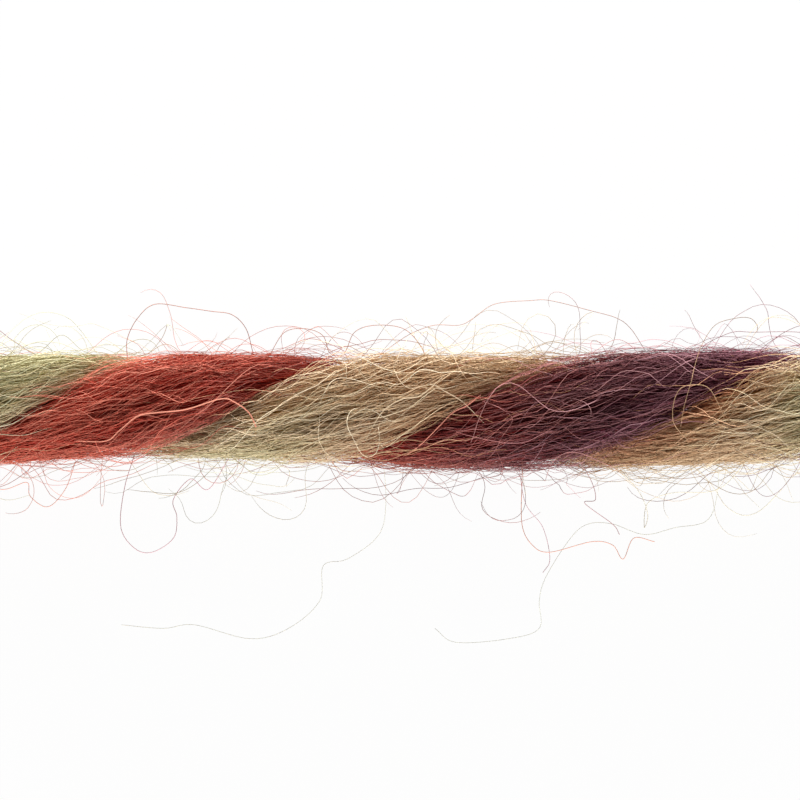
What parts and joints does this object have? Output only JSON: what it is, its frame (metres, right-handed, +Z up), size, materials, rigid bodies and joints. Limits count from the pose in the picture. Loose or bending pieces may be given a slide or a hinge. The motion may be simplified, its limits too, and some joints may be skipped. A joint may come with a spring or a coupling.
{
  "type": "knitting yarn",
  "caption": "Straight cut length of soft two-ply wool yarn, one warm and one pale ply twisted together, with loose fibres standing off it.",
  "frame": {"origin": "on the resting surface, under the middle of the yarn's length", "axes": "+X along the yarn, +Y across it, +Z up from the surface it lies on"},
  "size_m": [0.0312, 0.0033, 0.0031],
  "materials": {
    "warm_wool": "matte fuzzy wool, brick red running to dark plum purple",
    "pale_wool": "matte fuzzy wool, pale sage green, cream and tan running into each other"
  },
  "bodies": {
    "root": {"ply_warm": "warm_wool", "ply_pale": "pale_wool"}
  },
  "joints": []
}
